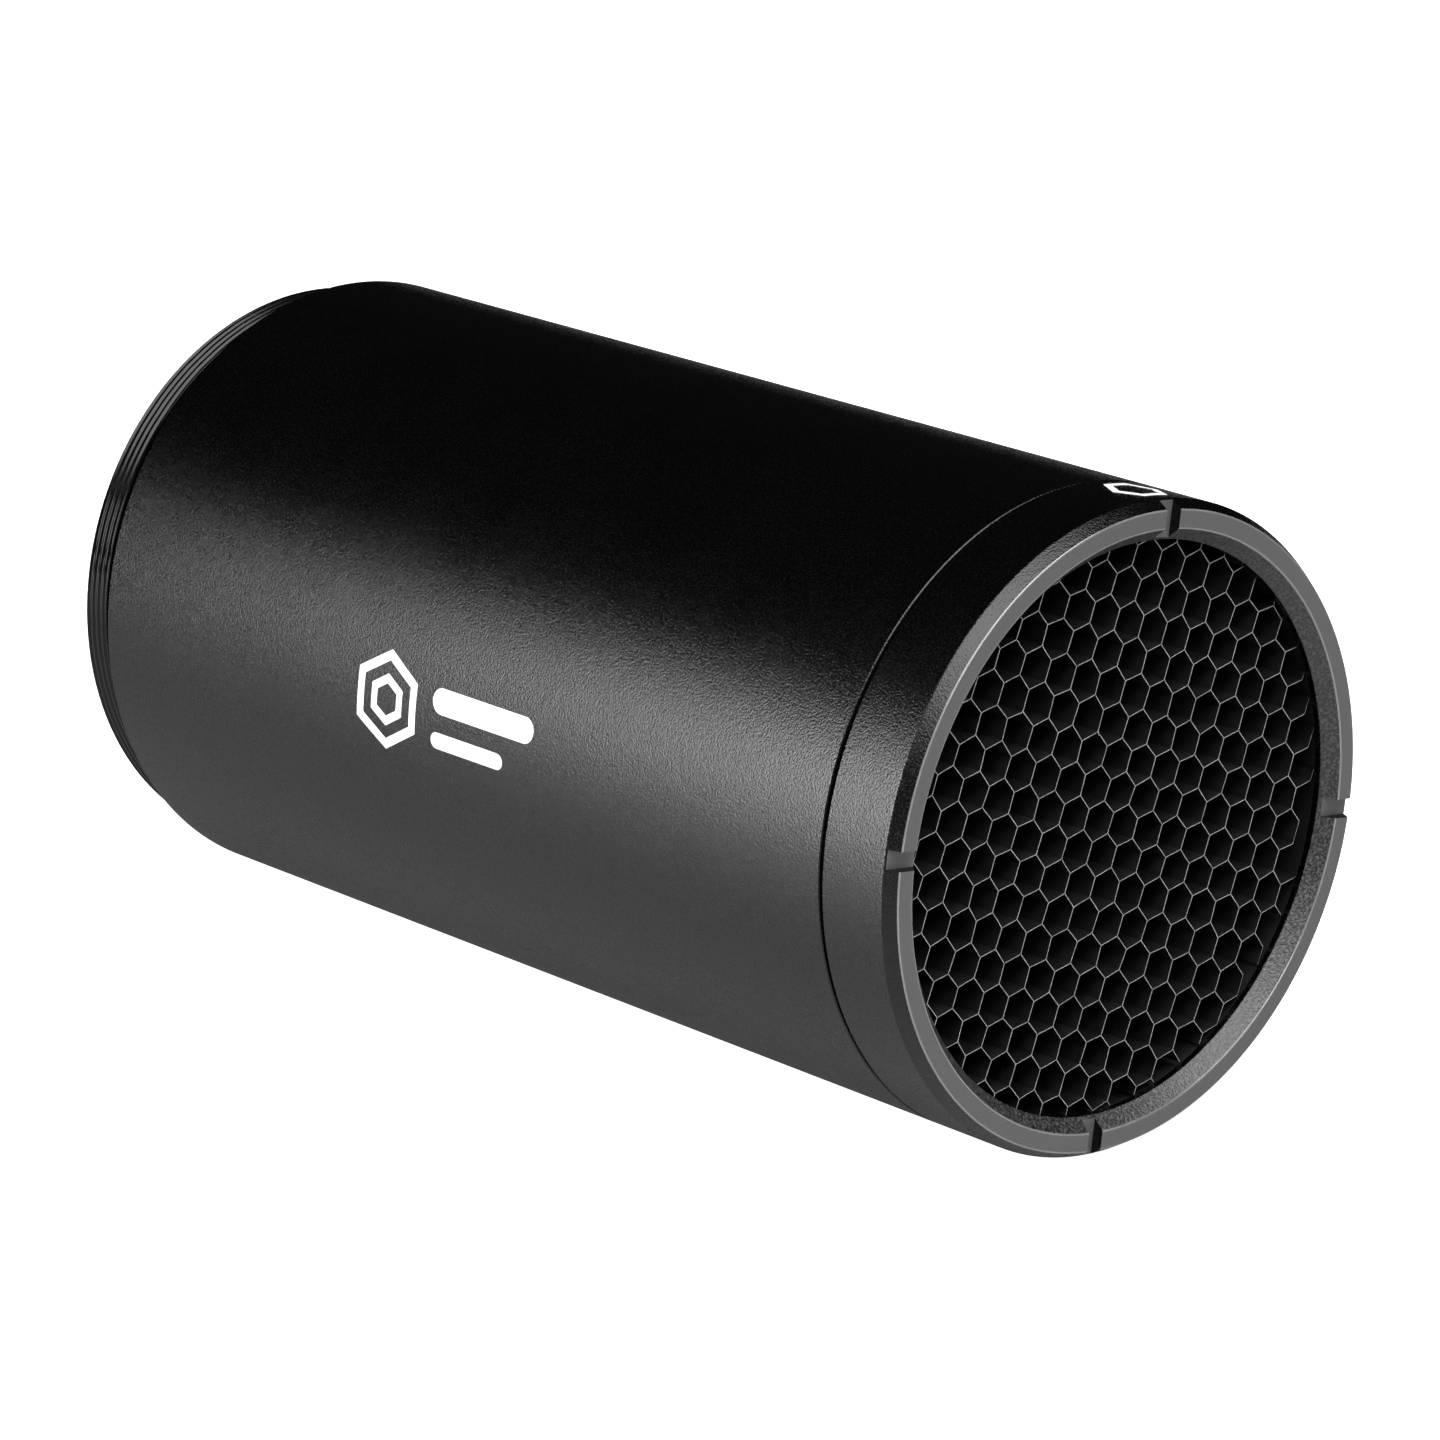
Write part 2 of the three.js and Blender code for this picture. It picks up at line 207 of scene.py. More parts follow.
def screw_thread(crest, low_y=None, high_y=None):
    """A right-hand thread as a function of y and turn that gives the radius. Between low_y and
    high_y it rises from its root and falls back to it."""

    def radius(y, turn):
        phase = (y / THREAD_PITCH - turn) % 1.0
        rise = 1 - abs(2 * phase - 1)
        drop = min(1.0, max(0.0, (rise - THREAD_FLAT) / (1 - 2 * THREAD_FLAT)))
        height = 1 - drop
        if low_y is not None:
            height *= min(1.0, max(0.0, (y - low_y) / THREAD_RUN_IN))
            height *= min(1.0, max(0.0, (high_y - y) / THREAD_RUN_IN))
        return crest - THREAD_DEPTH * (1 - height)

    return radius


def spigot_thread(crest, start_y, end_y):
    """A male thread that has half risen where it starts and half fallen where it ends."""
    return screw_thread(crest, start_y - THREAD_RUN_IN / 2, end_y + THREAD_RUN_IN / 2)


def threaded_stretch(thread, start_y, end_y, finish=0):
    rows = max(2, round(abs(end_y - start_y) / THREAD_PITCH * THREAD_ROWS))
    step = (end_y - start_y) / rows
    return [Corner(0.0, start_y + row * step, finish, thread=thread) for row in range(rows + 1)]


def turned_mesh(name, outline, materials, start=0.0, sweep=1.0):
    """Turns a closed outline about the Y axis, all the way or over part of a turn."""
    full = sweep >= 1.0
    spans = SEGMENTS if full else round(SEGMENTS * sweep)
    columns = spans if full else spans + 1
    rows = len(outline)
    vertices = []
    for column in range(columns):
        turn = start + sweep * column / spans
        angle = 2 * math.pi * turn
        for corner in outline:
            radius = corner.thread(corner.y, turn) if corner.thread else corner.radius
            vertices.append((radius * math.sin(angle), corner.y, radius * math.cos(angle)))
    faces = []
    finishes = []
    for column in range(spans):
        here = column * rows
        there = (column + 1) % columns * rows
        for row, corner in enumerate(outline):
            after = (row + 1) % rows
            faces.append((here + row, here + after, there + after, there + row))
            finishes.append(corner.finish)
    if not full:
        last = spans * rows
        faces.append(tuple(range(rows)))
        faces.append(tuple(last + row for row in reversed(range(rows))))
        finishes += [0, 0]
    mesh = new_mesh(name, vertices, faces, finishes)
    for material in materials:
        mesh.materials.append(material)
    face_outward(mesh)
    return mesh


def cut_from(mesh, cutters):
    """Cuts closed meshes out of a closed mesh and returns what is left."""
    target = bpy.data.objects.new("cut_target", mesh)
    helpers = [target]
    for cutter_mesh in cutters:
        cutter = bpy.data.objects.new("cutter", cutter_mesh)
        helpers.append(cutter)
        modifier = target.modifiers.new("cut", "BOOLEAN")
        modifier.operation = "DIFFERENCE"
        modifier.solver = "EXACT"
        modifier.object = cutter
    for helper in helpers:
        bpy.context.scene.collection.objects.link(helper)
    bpy.context.view_layer.update()
    evaluated = target.evaluated_get(bpy.context.evaluated_depsgraph_get())
    result = bpy.data.meshes.new_from_object(evaluated)
    for helper in helpers:
        bpy.data.objects.remove(helper)
    return result


# ---------- Materials ----------


class Nodes:
    """A short way to write the node tree of one material."""

    def __init__(self, name):
        self.material = bpy.data.materials.new(name)
        self.material.use_nodes = True
        self.tree = self.material.node_tree
        self.shader = self.tree.nodes["Principled BSDF"]
        self.place = self.add("ShaderNodeTexCoord").outputs["Object"]

    def add(self, kind, **settings):
        node = self.tree.nodes.new(kind)
        for key, value in settings.items():
            setattr(node, key, value)
        return node

    def link(self, source, target):
        self.tree.links.new(source, target)

    def set(self, **values):
        """Sets plain values on the shader, such as IOR or metallic."""
        for key, value in values.items():
            name = key if key.isupper() else key.replace("_", " ").title()
            self.shader.inputs[name].default_value = value

    def grains(self, size, detail=2.0, roughness=0.5):
        """Noise from 0 to 1 whose grains are about the given size across."""
        texture = self.add("ShaderNodeTexNoise")
        texture.inputs["Scale"].default_value = 1 / size
        texture.inputs["Detail"].default_value = detail
        texture.inputs["Roughness"].default_value = roughness
        self.link(self.place, texture.inputs["Vector"])
        return texture.outputs["Fac"]

    def ranged(self, value, low, high, to_low, to_high):
        node = self.add("ShaderNodeMapRange")
        limits = {"From Min": low, "From Max": high, "To Min": to_low, "To Max": to_high}
        for name, limit in limits.items():
            node.inputs[name].default_value = limit
        self.link(value, node.inputs["Value"])
        return node.outputs["Result"]

    def calculate(self, operation, *values):
        node = self.add("ShaderNodeMath", operation=operation)
        for socket, value in zip(node.inputs, values):
            if isinstance(value, (int, float)):
                socket.default_value = value
            else:
                self.link(value, socket)
        return node.outputs["Value"]

    def colour_between(self, factor, first, second):
        """A colour from first to second. Each is a brightness or another colour output."""
        node = self.add("ShaderNodeMix", data_type="RGBA")
        self.link(factor, node.inputs["Factor"])
        for socket, value in zip((node.inputs[6], node.inputs[7]), (first, second)):
            if isinstance(value, float):
                socket.default_value = (value, value, value, 1)
            else:
                self.link(value, socket)
        return node.outputs[2]

    def bump(self, height, distance, strength=1.0):
        node = self.add("ShaderNodeBump")
        node.inputs["Strength"].default_value = strength
        node.inputs["Distance"].default_value = distance
        self.link(height, node.inputs["Height"])
        self.link(node.outputs["Normal"], self.shader.inputs["Normal"])


def blasted_black():
    """Black anodising over bead-blasted aluminium, with a fine grain."""
    nodes = Nodes("blasted_black")
    grain = nodes.grains(0.18 * MM, detail=1.5, roughness=0.6)
    clouds = nodes.grains(7 * MM, detail=3.0)
    spread = nodes.ranged(grain, 0.38, 0.72, 0.0, 1.0)
    nodes.link(nodes.colour_between(spread, 0.0001, 0.0005), nodes.shader.inputs["Base Color"])
    fine = nodes.ranged(grain, 0.3, 0.7, 0.19, 0.31)
    drift = nodes.ranged(clouds, 0.3, 0.7, -0.015, 0.015)
    nodes.link(nodes.calculate("ADD", fine, drift), nodes.shader.inputs["Roughness"])
    nodes.set(IOR=1.48)
    nodes.bump(grain, 0.045 * MM)
    return nodes.material


def threaded_black():
    """Black anodising over screw threads, which are cut after blasting and so stay smooth."""
    nodes = Nodes("threaded_black")
    grain = nodes.grains(0.3 * MM, detail=3.0)
    nodes.link(nodes.colour_between(grain, 0.0004, 0.0016), nodes.shader.inputs["Base Color"])
    nodes.link(nodes.ranged(grain, 0.3, 0.7, 0.18, 0.24), nodes.shader.inputs["Roughness"])
    nodes.set(IOR=1.4)
    nodes.bump(grain, 0.003 * MM)
    return nodes.material


def wear_and_highlight_black():
    """A handled edge, where the anodising is rubbed smooth and shiny. Its pale base colour is also a
    painted highlight: the light that the rim's rounded edges catch.
    """
    nodes = Nodes("wear_and_highlight_black")
    clouds = nodes.grains(4 * MM, detail=4.0, roughness=0.6)
    grain = nodes.grains(0.3 * MM, detail=2.0)
    # Painted highlight: this pale base colour stands in for the light caught along the rim's rounded
    # edges, as well as rubbed wear.
    nodes.link(nodes.colour_between(clouds, 0.12, 0.22), nodes.shader.inputs["Base Color"])
    nodes.link(nodes.ranged(grain, 0.3, 0.7, 0.14, 0.22), nodes.shader.inputs["Roughness"])
    nodes.set(IOR=2.0)
    nodes.bump(grain, 0.003 * MM)
    return nodes.material


def satin_black():
    """The mouth's inner bevel, which has a paler and coarser grain."""
    nodes = Nodes("satin_black")
    grain = nodes.grains(0.26 * MM, detail=2.0, roughness=0.65)
    spread = nodes.ranged(grain, 0.45, 0.64, 0.0, 1.0)
    nodes.link(nodes.colour_between(spread, 0.006, 0.066), nodes.shader.inputs["Base Color"])
    nodes.link(nodes.ranged(grain, 0.3, 0.7, 0.34, 0.46), nodes.shader.inputs["Roughness"])
    nodes.set(IOR=1.65)
    nodes.bump(grain, 0.08 * MM)
    return nodes.material


def machined_black():
    """The rim's faced surface: paler anodising over fine concentric tool marks."""
    nodes = Nodes("machined_black")
    axes = nodes.add("ShaderNodeSeparateXYZ")
    nodes.link(nodes.place, axes.inputs["Vector"])
    x_squared = nodes.calculate("POWER", axes.outputs["X"], 2.0)
    z_squared = nodes.calculate("POWER", axes.outputs["Z"], 2.0)
    radius = nodes.calculate("SQRT", nodes.calculate("ADD", x_squared, z_squared))
    feed = nodes.calculate("SINE", nodes.calculate("MULTIPLY", radius, 2 * math.pi / (0.11 * MM)))
    grain = nodes.grains(0.3 * MM, detail=3.0)
    height = nodes.calculate("MULTIPLY_ADD", feed, 0.3, grain)
    nodes.link(nodes.colour_between(grain, 0.070, 0.088), nodes.shader.inputs["Base Color"])
    nodes.link(nodes.ranged(grain, 0.3, 0.7, 0.40, 0.47), nodes.shader.inputs["Roughness"])
    nodes.set(IOR=1.65)
    nodes.bump(height, 0.010 * MM)
    return nodes.material


def bore_black():
    """Dull black inside the tube, which swallows stray light."""
    nodes = Nodes("bore_black")
    grain = nodes.grains(0.25 * MM, detail=3.0)
    nodes.link(nodes.colour_between(grain, 0.002, 0.006), nodes.shader.inputs["Base Color"])
    nodes.link(nodes.ranged(grain, 0.3, 0.7, 0.62, 0.78), nodes.shader.inputs["Roughness"])
    nodes.set(IOR=1.4)
    nodes.bump(grain, 0.02 * MM)
    return nodes.material


def foil_wall():
    """Blackened aluminium foil with uneven stains."""
    nodes = Nodes("foil_wall")
    stains = nodes.grains(2.5 * MM, detail=4.0, roughness=0.6)
    spread = nodes.ranged(stains, 0.35, 0.7, 0.0, 1.0)
    nodes.link(nodes.colour_between(spread, 0.007, 0.014), nodes.shader.inputs["Base Color"])
    nodes.link(nodes.ranged(stains, 0.3, 0.7, 0.26, 0.36), nodes.shader.inputs["Roughness"])
    nodes.set(IOR=1.45)
    nodes.bump(nodes.grains(0.2 * MM), 0.008 * MM)
    return nodes.material


def foil_edge():
    """The foil's sawn edge, where bare metal shows."""
    nodes = Nodes("foil_edge")
    scuff = nodes.grains(0.5 * MM, detail=3.0, roughness=0.7)
    spread = nodes.ranged(scuff, 0.3, 0.65, 0.0, 1.0)
    nodes.link(nodes.colour_between(spread, 0.28, 0.50), nodes.shader.inputs["Base Color"])
    nodes.link(nodes.ranged(scuff, 0.3, 0.7, 0.45, 0.60), nodes.shader.inputs["Roughness"])
    nodes.set(Metallic=0.3)
    nodes.bump(scuff, 0.01 * MM)
    return nodes.material


def spring_steel():
    """Phosphated spring steel."""
    nodes = Nodes("spring_steel")
    grain = nodes.grains(0.3 * MM, detail=4.0)
    nodes.link(nodes.colour_between(grain, 0.03, 0.085), nodes.shader.inputs["Base Color"])
    nodes.link(nodes.ranged(grain, 0.3, 0.7, 0.35, 0.50), nodes.shader.inputs["Roughness"])
    nodes.set(Metallic=0.85)
    nodes.bump(grain, 0.008 * MM)
    return nodes.material


def black_rubber():
    """Dull moulded rubber with a faint bloom."""
    nodes = Nodes("black_rubber")
    bloom = nodes.grains(1.2 * MM, detail=4.0)
    nodes.link(nodes.colour_between(bloom, 0.008, 0.020), nodes.shader.inputs["Base Color"])
    nodes.link(nodes.ranged(bloom, 0.3, 0.7, 0.75, 0.90), nodes.shader.inputs["Roughness"])
    nodes.bump(nodes.grains(0.15 * MM), 0.01 * MM)
    return nodes.material


def white_print():
    """Pad-printed white ink that covers the blasted grain a little unevenly."""
    nodes = Nodes("white_print")
    cover = nodes.grains(0.35 * MM, detail=3.0, roughness=0.6)
    spread = nodes.ranged(cover, 0.3, 0.55, 0.0, 1.0)
    nodes.link(nodes.colour_between(spread, 0.80, 0.88), nodes.shader.inputs["Base Color"])
    nodes.link(nodes.ranged(cover, 0.3, 0.7, 0.42, 0.55), nodes.shader.inputs["Roughness"])
    nodes.bump(nodes.grains(0.2 * MM), 0.005 * MM)
    return nodes.material


def white_sheet(name, brightness, roughness, glow):
    """A white sheet that may glow."""
    nodes = Nodes(name)
    tint = nodes.grains(400 * MM)
    colour = nodes.colour_between(tint, brightness, brightness * 0.97)
    nodes.link(colour, nodes.shader.inputs["Base Color"])
    nodes.shader.inputs["Roughness"].default_value = roughness
    nodes.shader.inputs["Emission Color"].default_value = (1, 1, 1, 1)
    nodes.shader.inputs["Emission Strength"].default_value = glow
    return nodes.material


# ---------- Tube ----------

def bore_grooves(start_y, end_y):
    """Sawtooth anti-glare grooves, cut outward from the bore."""
    count = round(abs(end_y - start_y) / GROOVE_PITCH)
    step = (end_y - start_y) / count
    outline = []
    for index in range(count):
        y = start_y + index * step
        outline.append(Corner(BORE_RADIUS, y, DULL))
        outline.append(Corner(BORE_RADIUS, y + GROOVE_LAND * step, DULL))
        outline.append(Corner(BORE_RADIUS + GROOVE_DEPTH, y + GROOVE_DEEPEST * step, DULL))
    return outline


def tube_outline():
    thread_start = SHOULDER_Y + SPIGOT_RELIEF_LENGTH
    cavity_end = NECK_END_Y + NECK_CAVITY_GAP
    female_crest = NECK_THREAD_RADIUS + THREAD_CLEARANCE
    male = spigot_thread(SPIGOT_THREAD_RADIUS, thread_start, SPIGOT_END_Y)
    female = screw_thread(female_crest)
    chamfer_y = TUBE_FRONT_Y + SEAM_CHAMFER
    return rounded([
        Corner(OUTER_RADIUS - SEAM_CHAMFER, TUBE_FRONT_Y, edge=EDGE_BREAK / 2),
        Corner(OUTER_RADIUS, chamfer_y, edge=EDGE_BREAK / 2),
        Corner(OUTER_RADIUS, SHOULDER_Y - SHOULDER_CHAMFER, edge=EDGE_BREAK / 2),
        Corner(OUTER_RADIUS - SHOULDER_CHAMFER, SHOULDER_Y, edge=EDGE_BREAK / 2),
        Corner(SPIGOT_RELIEF_RADIUS, SHOULDER_Y, THREADED, EDGE_BREAK),
        Corner(SPIGOT_RELIEF_RADIUS, thread_start - EDGE_BREAK, THREADED),
        *threaded_stretch(male, thread_start, SPIGOT_END_Y, THREADED),
        Corner(BORE_RADIUS + GROOVE_DEPTH, SPIGOT_END_Y, DULL, EDGE_BREAK),
        *bore_grooves(SPIGOT_END_Y - GROOVE_PITCH / 2, cavity_end + GROOVE_PITCH / 2),
        Corner(BORE_RADIUS, cavity_end, DULL),
        *threaded_stretch(female, cavity_end, TUBE_FRONT_Y + SEAM_CHAMFER, DULL),
        Corner(female_crest + EDGE_BREAK, TUBE_FRONT_Y, BLASTED, EDGE_BREAK),
    ])


def build_tube(materials):
    mesh = turned_mesh("tube_body", tube_outline(), materials)
    smooth_by_angle(mesh)
    add_piece("tube_body", mesh, "tube", ["main_tube"])


# ---------- Front ring ----------


def ring_outline():
    groove_front = SNAP_LOW.y - SNAP_GROOVE_CLEARANCE
    groove_back = SNAP_HIGH.y + SNAP_GROOVE_CLEARANCE
    thread_start = RING_BACK_Y + NECK_RELIEF_LENGTH
    male = spigot_thread(NECK_THREAD_RADIUS, thread_start, NECK_END_Y)
    rim_radius = OUTER_RADIUS - MOUTH_CHAMFER_RADIAL
    return rounded([
        *threaded_stretch(male, thread_start, NECK_END_Y, THREADED),
        Corner(SEAT_RADIUS, NECK_END_Y, DULL, EDGE_BREAK),
        Corner(SEAT_RADIUS, groove_back, DULL, EDGE_BREAK / 2),
        Corner(SNAP_GROOVE_RADIUS, groove_back, DULL, EDGE_BREAK / 2),
        Corner(SNAP_GROOVE_RADIUS, groove_front, DULL, EDGE_BREAK / 2),
        Corner(SEAT_RADIUS, groove_front, DULL, EDGE_BREAK / 2),
        Corner(SEAT_RADIUS, MOUTH_Y + LIP_DEPTH, DULL, EDGE_BREAK),
        Corner(LIP_RADIUS, MOUTH_Y + LIP_DEPTH, BLASTED, EDGE_BREAK),
        Corner(LIP_RADIUS, MOUTH_Y + BEVEL_DEPTH, SATIN, EDGE_BREAK),
        # These two rim edges take the pale finish, partly a painted highlight.
        Corner(BEVEL_OUTER_RADIUS, MOUTH_Y, MACHINED, EDGE_BREAK, wear_and_highlight=True),
        Corner(rim_radius, MOUTH_Y, BLASTED, EDGE_BREAK, wear_and_highlight=True),
        Corner(OUTER_RADIUS, MOUTH_Y + MOUTH_CHAMFER_AXIAL, BLASTED, EDGE_BREAK),
        Corner(OUTER_RADIUS, RING_BACK_Y - SEAM_CHAMFER, BLASTED, EDGE_BREAK / 2),
        Corner(OUTER_RADIUS - SEAM_CHAMFER, RING_BACK_Y, BLASTED, EDGE_BREAK / 2),
        Corner(NECK_RELIEF_RADIUS, RING_BACK_Y, THREADED, EDGE_BREAK),
        Corner(NECK_RELIEF_RADIUS, thread_start - EDGE_BREAK, THREADED),
    ])


def slot_cutter(index):
    """A closed block that cuts one spanner slot right across the rim."""
    angle = FIRST_SLOT_ANGLE + index * 2 * math.pi / SLOT_COUNT
    out = Vector((math.cos(angle), 0, math.sin(angle)))
    side = Vector((-math.sin(angle), 0, math.cos(angle)))
    along = Vector((0, 1, 0))
    corners = []
    for radius in (LIP_RADIUS - CUTTER_MARGIN, OUTER_RADIUS + CUTTER_MARGIN):
        for across in (-SLOT_WIDTH / 2, SLOT_WIDTH / 2):
            for y in (MOUTH_Y - CUTTER_MARGIN, MOUTH_Y + SLOT_DEPTH):
                corners.append(out * radius + side * across + along * y)
    faces = [(0, 1, 3, 2), (4, 6, 7, 5), (0, 4, 5, 1), (2, 3, 7, 6), (0, 2, 6, 4), (1, 5, 7, 3)]
    mesh = new_mesh("slot_cutter", corners, faces)
    face_outward(mesh)
    return mesh


def build_ring(materials):
    blank = turned_mesh("ring_blank", ring_outline(), materials)
    mesh = cut_from(blank, [slot_cutter(index) for index in range(SLOT_COUNT)])
    slot_floor_y = MOUTH_Y + SLOT_DEPTH
    for polygon in mesh.polygons:
        if abs(polygon.center.y - slot_floor_y) < FLAT_TOLERANCE and polygon.normal.y < -0.99:
            polygon.material_index = MACHINED
    smooth_by_angle(mesh)
    add_piece("ring_body", mesh, "grid_ring", ["front_ring"])


# ---------- Gasket and snap ring ----------


def band_outline(inner, outer, low_y, high_y, edge):
    return rounded([
        Corner(inner, low_y, edge=edge),
        Corner(outer, low_y, edge=edge),
        Corner(outer, high_y, edge=edge),
        Corner(inner, high_y, edge=edge),
    ])


def build_gasket(rubber):
    outline = band_outline(GASKET_INNER_RADIUS, GASKET_HIGH.x, GASKET_LOW.y, GASKET_HIGH.y, EDGE_BREAK)
    mesh = turned_mesh("gasket_band", outline, [rubber])
    smooth_by_angle(mesh)
    add_piece("gasket_band", mesh, "gasket", ["seam_gasket"])


def build_snap_ring(steel):
    outline = band_outline(SNAP_INNER_RADIUS, SNAP_HIGH.x, SNAP_LOW.y, SNAP_HIGH.y, 2 * EDGE_BREAK)
    start = 0.5 + SNAP_OPENING / 2
    mesh = turned_mesh("snap_ring_wire", outline, [steel], start, 1 - SNAP_OPENING)
    smooth_by_angle(mesh)
    add_piece("snap_ring_wire", mesh, "grid_ring", ["snap_ring"])


# ---------- Honeycomb ----------
# The grid is expanded foil. Foil k zigzags about its mean line, and every other wall is
# bonded to a neighbour. The ends of a bond take the same random shift on both foils.

CELL_WIDTH = 3.28 * MM  # across the flats
CELL_SIDE = CELL_WIDTH / math.sqrt(3)
CELL_OFFSET_ALONG = 0.2 * MM  # one cell's centre from the axis, along the foils
CELL_OFFSET_ACROSS = -1.04 * MM
FOIL_ANGLE = math.radians(68.3)  # run of the foils, from +X towards +Z
FOIL_PERIOD = 3 * CELL_SIDE
FOIL_SPACING = CELL_WIDTH / 2
CAD_GRID_RADIUS = 25.8 * MM

SINGLE_THICKNESS = 0.062 * MM
BONDED_THICKNESS = 0.036 * MM  # foils are squeezed thinner where they are bonded
BOND_GAP = 0.003 * MM
CORNER_ROUNDING = 0.10 * MM
CORNER_SHIFT = 0.045 * MM
WARP_SIZE = 14 * MM
WARP_SHIFT = 0.30 * MM
WALL_BOW = 0.008 * MM
KINK_SHARE = 0.02
KINK_SIZE = 0.16 * MM
KINK_START = 0.08  # share of the wall before a kink over which it bends
SAWN_RADIUS = 25.4 * MM  # the foils are sawn to a rough disc, a little off the axis
SAWN_CENTRE = Vector((-0.08 * MM, -0.19 * MM))
SAWN_ROUGHNESS = 0.19 * MM


class FoilPoint(NamedTuple):
    place: Vector
    thickness: float


def mean_line(index):
    return CELL_OFFSET_ACROSS - CELL_WIDTH / 4 + index * FOIL_SPACING


def first_foil_index():
    reach = CAD_GRID_RADIUS - CELL_WIDTH / 4
    return math.ceil((-reach - mean_line(0)) / FOIL_SPACING)


def slow_warp(place):
    """A drift of the whole pattern, left from pulling the foils open."""
    sample = noise.noise_vector(Vector((place.x, place.y, 0)) / WARP_SIZE)
    return Vector((sample.x, sample.y)) * WARP_SHIFT


def bond_end(bond_row, bond_number, end, place):
    """Where one end of a bond really lies, which both of its foils share."""
    source = random.Random(f"{bond_row} {bond_number} {end}")
    shift = Vector((source.gauss(0, CORNER_SHIFT), source.gauss(0, CORNER_SHIFT)))
    return place + shift + slow_warp(place)


def foil_corners(index):
    """The corners along one foil. Walls from even to odd corners are bonded."""
    phase = CELL_OFFSET_ALONG + (index - 1) * FOIL_PERIOD / 2
    mean = mean_line(index)
    reach = math.ceil(2 * CAD_GRID_RADIUS / FOIL_PERIOD)
    middle = round(-phase / FOIL_PERIOD)
    corners = []
    for period in range(middle - reach, middle + reach + 1):
        centre = phase + period * FOIL_PERIOD
        bonds = ((1, centre, index), (-1, centre + FOIL_PERIOD / 2, index - 1))
        for side, bond_middle, bond_row in bonds:
            bond_number = round(2 * bond_middle / FOIL_PERIOD)
            for end in (-1, 1):
                place = Vector((bond_middle + end * CELL_SIDE / 2, mean + side * CELL_WIDTH / 4))
                place = bond_end(bond_row, bond_number, end, place)
                place.y -= side * (BONDED_THICKNESS + BOND_GAP) / 2
                corners.append(place)
    return corners


def foil_points(corners, source):
    """Follows the corners with rounded bends, slightly bowed free walls and a few kinks."""
    points = []
    for number in range(1, len(corners) - 2):
        here, there = corners[number], corners[number + 1]
        bonded = number % 2 == 0
        wall = there - here
        across = Vector((-wall.y, wall.x)).normalized()
        thickness = BONDED_THICKNESS if bonded else SINGLE_THICKNESS
        rounding = CORNER_ROUNDING / wall.length
        points.append(FoilPoint(here.lerp(there, rounding), thickness))
        bow = 0.0 if bonded else source.gauss(0, WALL_BOW)
        kinked = not bonded and source.random() < KINK_SHARE
        kink = source.uniform(-1, 1) * KINK_SIZE
        kink_at = source.uniform(0.76, 0.88)
        if kinked:
            points.append(FoilPoint(here.lerp(there, kink_at - KINK_START), thickness))
            points.append(FoilPoint(here.lerp(there, kink_at) + across * kink, thickness))
        else:
            points.append(FoilPoint(here.lerp(there, 0.5) + across * bow, thickness))
        points.append(FoilPoint(here.lerp(there, 1 - rounding), thickness))
        after = corners[number + 2]
        bend_end = there.lerp(after, CORNER_ROUNDING / (after - there).length)
        bend = there * 0.5 + (points[-1].place + bend_end) * 0.25
        points.append(FoilPoint(bend, (SINGLE_THICKNESS + BONDED_THICKNESS) / 2))
    return points


def disc_crossing(inside, outside, limit):
    """Where the line from a point inside the sawn disc to one outside it leaves the disc."""
    start = inside.place - SAWN_CENTRE
    step = outside.place - inside.place
    a = step.length_squared
    b = start.dot(step)
    c = start.length_squared - limit ** 2
    t = (-b + math.sqrt(max(0.0, b * b - a * c))) / a
    return FoilPoint(inside.place + step * t, inside.thickness)


def sawn_to_disc(points, source):
    """Keeps the longest stretch of a foil inside the disc, and saws its ends off unevenly."""
    runs = [[]]
    for number, point in enumerate(points):
        if (point.place - SAWN_CENTRE).length < SAWN_RADIUS:
            runs[-1].append(number)
        elif runs[-1]:
            runs.append([])
    run = max(runs, key=len)
    first, last = run[0], run[-1]
    kept = points[first:last + 1]
    limits = [SAWN_RADIUS + source.uniform(0, SAWN_ROUGHNESS) for _ in range(2)]
    start = disc_crossing(points[first], points[first - 1], limits[0])
    end = disc_crossing(points[last], points[last + 1], limits[1])
    return [start, *kept, end]


def foil_mesh(name, points, materials):
    """A strip of foil that stands along Y on a line in the X-Z plane. Its sawn edges take the
    second material."""
    places = [point.place for point in points]
    cosine, sine = math.cos(FOIL_ANGLE), math.sin(FOIL_ANGLE)
    vertices = []
    for index, point in enumerate(points):
        before = places[max(index - 1, 0)]
        after = places[min(index + 1, len(places) - 1)]
        along = (after - before).normalized()
        offset = Vector((-along.y, along.x)) * point.thickness / 2
        for y in (FOIL_LOW.y, FOIL_HIGH.y):
            for flat in (point.place + offset, point.place - offset):
                vertices.append((flat.x * cosine - flat.y * sine, y, flat.x * sine + flat.y * cosine))
    faces = []
    finishes = []
    for index in range(len(points) - 1):
        a, b = 4 * index, 4 * (index + 1)
        faces += [(a, b, b + 1, a + 1), (a + 2, a + 3, b + 3, b + 2)]
        faces += [(a, a + 2, b + 2, b), (a + 1, b + 1, b + 3, a + 3)]
        finishes += [1, 1, 0, 0]
    last = 4 * (len(points) - 1)
    faces += [(0, 1, 3, 2), (last, last + 2, last + 3, last + 1)]
    finishes += [1, 1]
    mesh = new_mesh(name, vertices, faces, finishes)
    for material in materials:
        mesh.materials.append(material)
    face_outward(mesh)
    smooth_by_angle(mesh, 50)
    return mesh


def build_honeycomb(wall, edge):
    first = first_foil_index()
    for order, node in enumerate(FOIL_NODES):
        source = random.Random(order)
        points = sawn_to_disc(foil_points(foil_corners(first + order), source), source)
        name = node.replace("ribbon", "strip")
        mesh = foil_mesh(name, points, [wall, edge])
        add_piece(name, mesh, "grid_ring", [node])


# ---------- Printed marks ----------
# Plain marks: two nested hexagons and two bars on the tube, and a hexagon on the ring. A
# shape is drawn flat, u towards the mouth and v up round the tube, and wrapped on to it.

